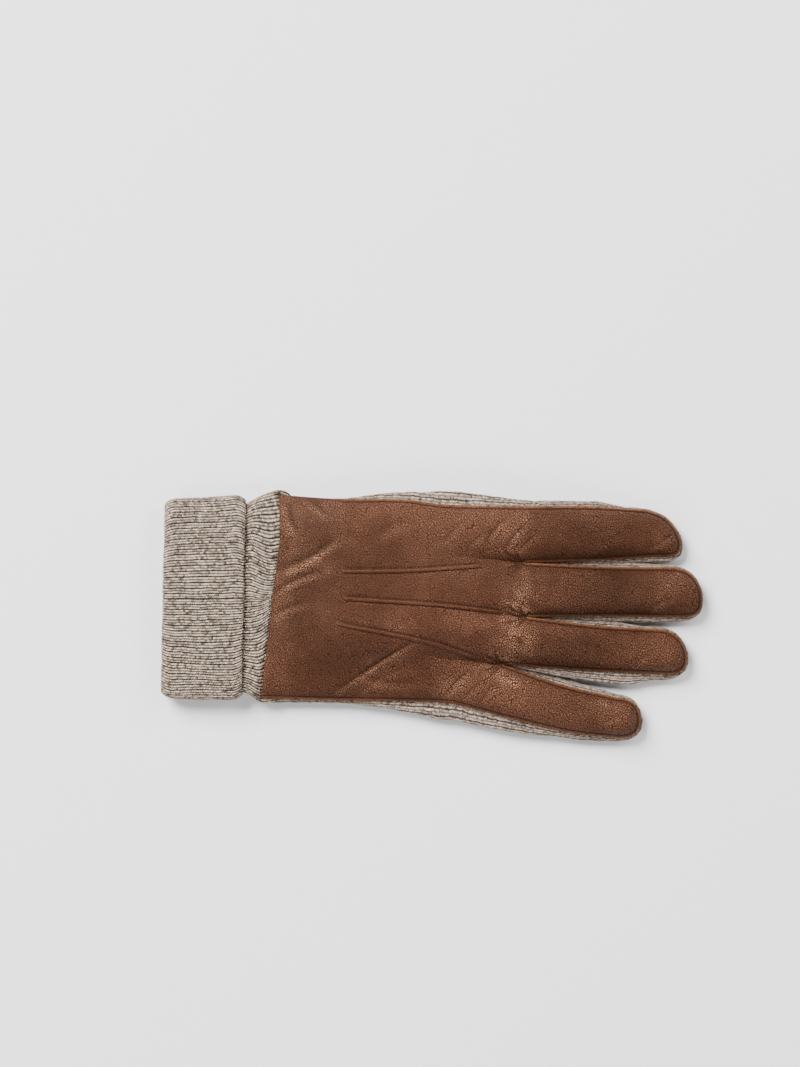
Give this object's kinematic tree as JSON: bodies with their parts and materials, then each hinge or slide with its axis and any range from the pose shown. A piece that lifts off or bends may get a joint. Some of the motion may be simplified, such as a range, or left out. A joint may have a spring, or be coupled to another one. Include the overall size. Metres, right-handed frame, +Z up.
{
  "type": "leather and knit glove",
  "caption": "Right-hand winter glove lying back up: leather back with stitched tucks, leather palm, ribbed knit side walls, thumb folded under, turned-up rib cuff.",
  "frame": {"origin": "on the surface that the glove lies on, under the middle of its outline", "axes": "+X from the cuff to the fingertips, +Y to the index finger's side, +Z up through the back of the hand"},
  "size_m": [0.2827, 0.1323, 0.028],
  "materials": {
    "leather": "soft, fine grained, low sheen",
    "side_knit": "ribbed wool knit",
    "rib_knit": "marled rib knit"
  },
  "bodies": {
    "root": {"back_leather": "leather", "palm_leather": "leather", "index_tip_patch": "leather", "thumb_back_leather": "leather", "thumb_front_leather": "leather", "index_side_wall": "side_knit", "index_middle_fourchette": "side_knit", "middle_ring_fourchette": "side_knit", "ring_little_fourchette": "side_knit", "little_side_wall": "side_knit", "thumb_knit_wall": "side_knit", "rib_cuff": "rib_knit"}
  },
  "joints": []
}
